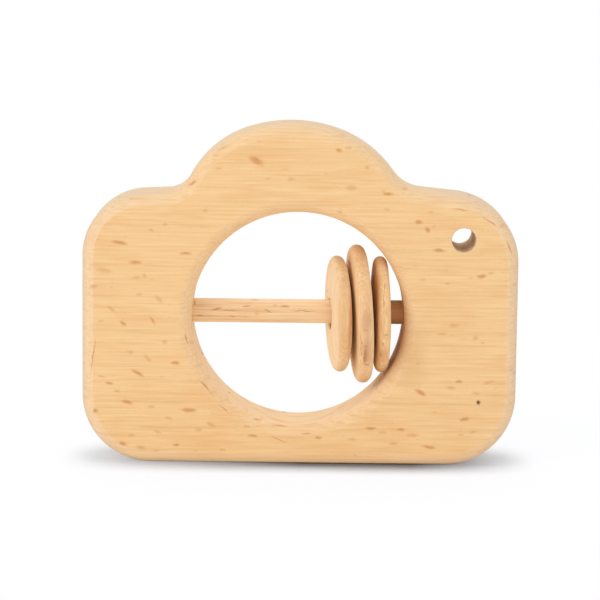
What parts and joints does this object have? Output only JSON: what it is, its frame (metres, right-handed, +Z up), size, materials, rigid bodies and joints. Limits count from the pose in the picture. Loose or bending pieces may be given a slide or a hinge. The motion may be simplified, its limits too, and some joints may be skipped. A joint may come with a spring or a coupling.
{
  "type": "wooden camera rattle",
  "caption": "Wooden baby rattle in the outline of a camera, with a round window crossed by a dowel on which loose turned rings slide.",
  "frame": {"origin": "on the surface the board stands on, under the middle of the object", "axes": "+X along the width, to the right seen from the front; -Y out of the front face; +Z up towards the hump"},
  "size_m": [0.1084, 0.0346, 0.0852],
  "materials": {
    "beech_board": "sanded beech, lightly oiled, pale with short brown flecks along the grain",
    "beech_dowel": "sanded beech dowel, streaks along its length",
    "beech_rings": "turned and sanded beech, fine upright streaks"
  },
  "bodies": {
    "board": {"camera_body": "beech_board", "axle_dowel": "beech_dowel"},
    "right_ring": {"ring_right": "beech_rings"},
    "middle_ring": {"ring_middle": "beech_rings"},
    "left_ring": {"ring_left": "beech_rings"}
  },
  "joints": [
    {"name": "right_ring_slide", "type": "slide", "parent": "board", "child": "right_ring", "axis": [1, 0, 0], "range_m": [-0.01, 0]},
    {"name": "middle_ring_slide", "type": "slide", "parent": "right_ring", "child": "middle_ring", "axis": [1, 0, 0], "range_m": [-0.01, 0]},
    {"name": "left_ring_slide", "type": "slide", "parent": "middle_ring", "child": "left_ring", "axis": [1, 0, 0], "range_m": [-0.01, 0]}
  ]
}
